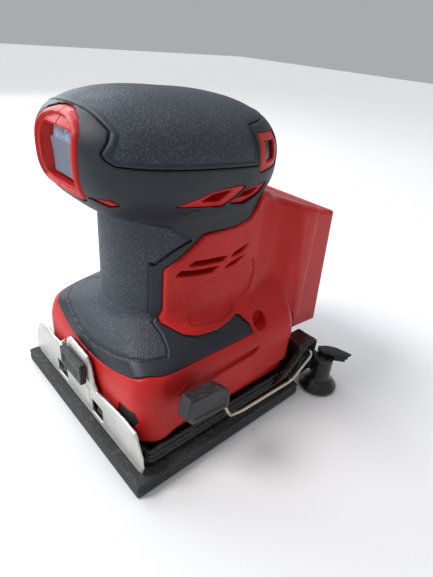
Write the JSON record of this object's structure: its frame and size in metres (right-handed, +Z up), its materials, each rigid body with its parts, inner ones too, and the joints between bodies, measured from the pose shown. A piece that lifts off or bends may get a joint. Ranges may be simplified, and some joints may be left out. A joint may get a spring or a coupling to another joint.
{
  "type": "cordless quarter-sheet palm sander",
  "caption": "Palm sander with a square sanding pad, wire-lever paper clamps, a domed grip with a rocker switch and a rear battery foot.",
  "frame": {"origin": "centre of the foam pad's sanding face", "axes": "+X towards the switch end and front paper clamp, +Y to the tool's left side, +Z up from the sanding face"},
  "size_m": [0.134, 0.128, 0.1511],
  "materials": {
    "red_housing": "satin moulded nylon",
    "soft_skin": "moulded soft skin, pebbled on the gripping zones",
    "switch_grey": "matte",
    "dark_nylon": "matte",
    "circuit_board": "solder mask",
    "contact_brass": "bright",
    "bright_steel": "bright drawn steel",
    "motor_iron": "bare laminations",
    "cast_alloy": "as cast",
    "support_rubber": "moulded",
    "gloss_black": "glossy, dusty in use",
    "pad_rubber": "dense foam rubber",
    "black_plastic": "fine matte",
    "zinc_plate": "zinc-plated pressed sheet"
  },
  "bodies": {
    "housing": {"housing_left": "red_housing", "housing_right": "red_housing", "base_apron_grip": "soft_skin", "column_grip": "soft_skin", "grip_collar": "soft_skin", "grip_top": "soft_skin", "grip_side_band": "soft_skin", "switch_module": "dark_nylon", "control_board": "circuit_board", "terminal_block": "dark_nylon", "battery_contact_1": "contact_brass", "battery_contact_2": "contact_brass", "battery_contact_3": "contact_brass", "battery_contact_4": "contact_brass", "battery_rail_left": "bright_steel", "battery_rail_right": "bright_steel", "motor_stator": "motor_iron", "motor_plate": "cast_alloy", "lower_bearing": "bright_steel", "upper_bearing": "bright_steel", "upper_bearing_bracket": "dark_nylon", "pad_support_1": "support_rubber", "pad_support_2": "support_rubber", "pad_support_3": "support_rubber", "pad_support_4": "support_rubber", "skirt_seal": "support_rubber"},
    "rotor": {"motor_shaft": "bright_steel", "motor_rotor": "motor_iron", "dust_fan": "dark_nylon", "counterweight": "motor_iron"},
    "pad": {"foam_pad": "pad_rubber", "platen": "gloss_black", "eccentric_bearing": "bright_steel", "dust_duct": "gloss_black", "hose_flange": "black_plastic"},
    "front_clamp": {"front_clamp_plate": "zinc_plate"},
    "front_lever": {"front_lever_wire": "bright_steel", "front_lever_tip": "black_plastic"},
    "rear_clamp": {"rear_clamp_plate": "zinc_plate"},
    "rear_lever": {"rear_lever_wire": "bright_steel", "rear_lever_grip": "black_plastic"},
    "switch": {"switch_rocker": "switch_grey"}
  },
  "joints": [
    {"name": "motor_spin", "type": "hinge", "parent": "housing", "child": "rotor", "pos_m": [0, 0, 0], "axis": [0, 0, 1], "continuous": true},
    {"name": "pad_orbit", "type": "hinge", "parent": "rotor", "child": "pad", "pos_m": [-0.0008, 0, 0], "axis": [0, 0, 1], "continuous": true},
    {"name": "front_lever_swing", "type": "hinge", "parent": "pad", "child": "front_lever", "pos_m": [0.0449, -0.0168, 0.0366], "axis": [0, 0, -1], "range_deg": [0, 75]},
    {"name": "front_clamp_lift", "type": "slide", "parent": "pad", "child": "front_clamp", "axis": [0, 0, 1], "range_m": [0, 0.003]},
    {"name": "rear_lever_swing", "type": "hinge", "parent": "pad", "child": "rear_lever", "pos_m": [-0.0605, 0.0556, 0.0243], "axis": [0, -1, 0], "range_deg": [0, 35]},
    {"name": "rear_clamp_lift", "type": "slide", "parent": "pad", "child": "rear_clamp", "axis": [0, 0, 1], "range_m": [0, 0.003]},
    {"name": "switch_rock", "type": "hinge", "parent": "housing", "child": "switch", "pos_m": [0.0415, 0, 0.129], "axis": [0, 1, 0], "range_deg": [0, 5]}
  ],
  "couplings": [
    {"joint": "pad_orbit", "follows": "motor_spin", "ratio": -1},
    {"joint": "front_lever_swing", "follows": "front_clamp_lift", "rad_per_m": 436.3},
    {"joint": "rear_lever_swing", "follows": "rear_clamp_lift", "rad_per_m": 203.6}
  ]
}
